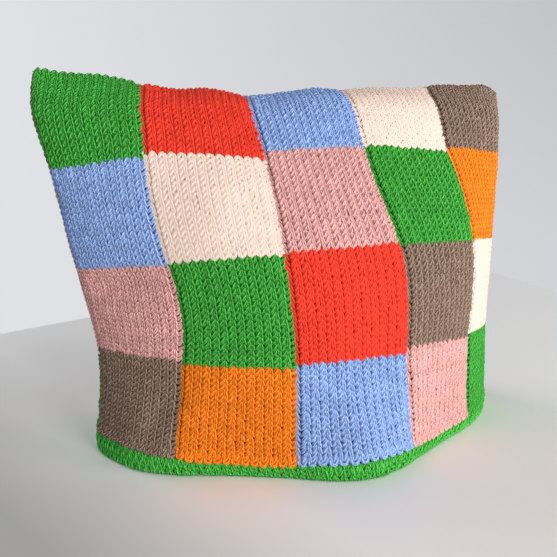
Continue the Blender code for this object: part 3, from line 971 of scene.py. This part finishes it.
# The wall that the lens sees: its strength on the left, and on the right low down and high up
WALL_LEFT = 0.785
WALL_RIGHT_LOW = 0.665
WALL_RIGHT_HIGH = 0.570
WALL_ACROSS = (0.9446, -0.3284, 0.12)   # the way that counts as rightward
WALL_SPAN = (-0.32, 0.36)               # from where to where it changes that way
WALL_RISE = (-0.20, 0.08)               # and upward


def scaled_range(tree, source, reach, strengths):
    """A node that turns a value within a reach into one between two strengths."""
    node = tree.nodes.new("ShaderNodeMapRange")
    for name, value in zip(("From Min", "From Max", "To Min", "To Max"), (*reach, *strengths)):
        node.inputs[name].default_value = value
    tree.links.new(source, node.inputs["Value"])
    return node


def distance_along(tree, place, direction):
    """How far a place lies in a direction."""
    node = tree.nodes.new("ShaderNodeVectorMath")
    node.operation = "DOT_PRODUCT"
    node.inputs[1].default_value = direction
    tree.links.new(place, node.inputs[0])
    return node.outputs["Value"]


def table_material():
    """Pale painted wood, with painted light and shade on it: lighter towards the back and darker towards
    the near left.
    """
    material = bpy.data.materials.new("table_paint_and_shade")
    material.use_nodes = True
    tree = material.node_tree
    shader = tree.nodes["Principled BSDF"]
    shader.inputs["Roughness"].default_value = 0.6
    place = tree.nodes.new("ShaderNodeTexCoord").outputs["Object"]
    grain = tree.nodes.new("ShaderNodeTexNoise")
    grain.inputs["Scale"].default_value = 6.0
    paint = tree.nodes.new("ShaderNodeMix")
    paint.data_type = "RGBA"
    paint.inputs["A"].default_value = (0.96, 0.96, 0.945, 1.0)
    paint.inputs["B"].default_value = (1.0, 1.0, 0.985, 1.0)
    tree.links.new(place, grain.inputs["Vector"])
    tree.links.new(grain.outputs["Fac"], paint.inputs["Factor"])
    paint_and_shade = paint.outputs["Result"]
    # the painted light and shade: the paint scaled lighter or darker along each direction
    for direction, start, end, first, last in TABLE_PAINTED_SHADES:
        run = distance_along(tree, place, direction)
        level = scaled_range(tree, run, (start, end), (first, last))
        scale = tree.nodes.new("ShaderNodeVectorMath")
        scale.operation = "SCALE"
        tree.links.new(paint_and_shade, scale.inputs[0])
        tree.links.new(level.outputs["Result"], scale.inputs["Scale"])
        paint_and_shade = scale.outputs[0]
    tree.links.new(paint_and_shade, shader.inputs["Base Color"])
    return material


def room_light():
    """An even room, but the lens sees a pale wall that darkens towards the upper right."""
    world = bpy.data.worlds.new("world")
    world.use_nodes = True
    tree = world.node_tree
    backdrop = tree.nodes["Background"]
    place = tree.nodes.new("ShaderNodeTexCoord").outputs["Generated"]
    heights = tree.nodes.new("ShaderNodeSeparateXYZ")
    tree.links.new(place, heights.inputs[0])
    right = scaled_range(tree, heights.outputs["Z"], WALL_RISE, (WALL_RIGHT_LOW, WALL_RIGHT_HIGH))
    wall = scaled_range(tree, distance_along(tree, place, WALL_ACROSS), WALL_SPAN, (WALL_LEFT, 1.0))
    tree.links.new(right.outputs["Result"], wall.inputs["To Max"])
    seen = tree.nodes.new("ShaderNodeLightPath")
    level = tree.nodes.new("ShaderNodeMix")
    level.inputs["A"].default_value = ROOM
    tree.links.new(seen.outputs["Is Camera Ray"], level.inputs["Factor"])
    tree.links.new(wall.outputs["Result"], level.inputs["B"])
    tree.links.new(level.outputs["Result"], backdrop.inputs["Strength"])
    backdrop.inputs["Color"].default_value = ROOM_COLOUR
    return world


def area_light(name, place, aim, size, watts, colour):
    """A lamp at a place, turned towards its aim."""
    lamp = bpy.data.lights.new(name, "AREA")
    lamp.shape = "DISK"
    lamp.size = size
    lamp.energy = watts
    lamp.color = colour
    obj = bpy.data.objects.new(name, lamp)
    obj.location = place
    obj.rotation_euler = (Vector(aim) - Vector(place)).to_track_quat("-Z", "Y").to_euler()
    scene.collection.objects.link(obj)


scene = bpy.context.scene
floor_mesh = bpy.data.meshes.new("floor")
left_corner = TABLE_CORNER + TABLE_LEFT
table_top = (TABLE_CORNER, left_corner, left_corner + TABLE_NEAR, TABLE_CORNER + TABLE_NEAR)
floor_mesh.from_pydata(table_top, [], [(0, 1, 2, 3)])
floor_mesh.materials.append(table_material())
floor = bpy.data.objects.new("floor", floor_mesh)
scene.collection.objects.link(floor)

camera = bpy.data.objects.new("camera", bpy.data.cameras.new("camera"))
camera.data.angle = math.radians(CAMERA_ANGLE)
camera.data.clip_start = 0.01
camera.location = CAMERA_AT
camera.rotation_euler = CAMERA_AHEAD.to_track_quat("-Z", "Y").to_euler()
scene.collection.objects.link(camera)
scene.camera = camera

for lamp in LAMPS:
    area_light(*lamp)
scene.world = room_light()
scene.view_settings.view_transform = "Standard"
scene.view_settings.look = "None"
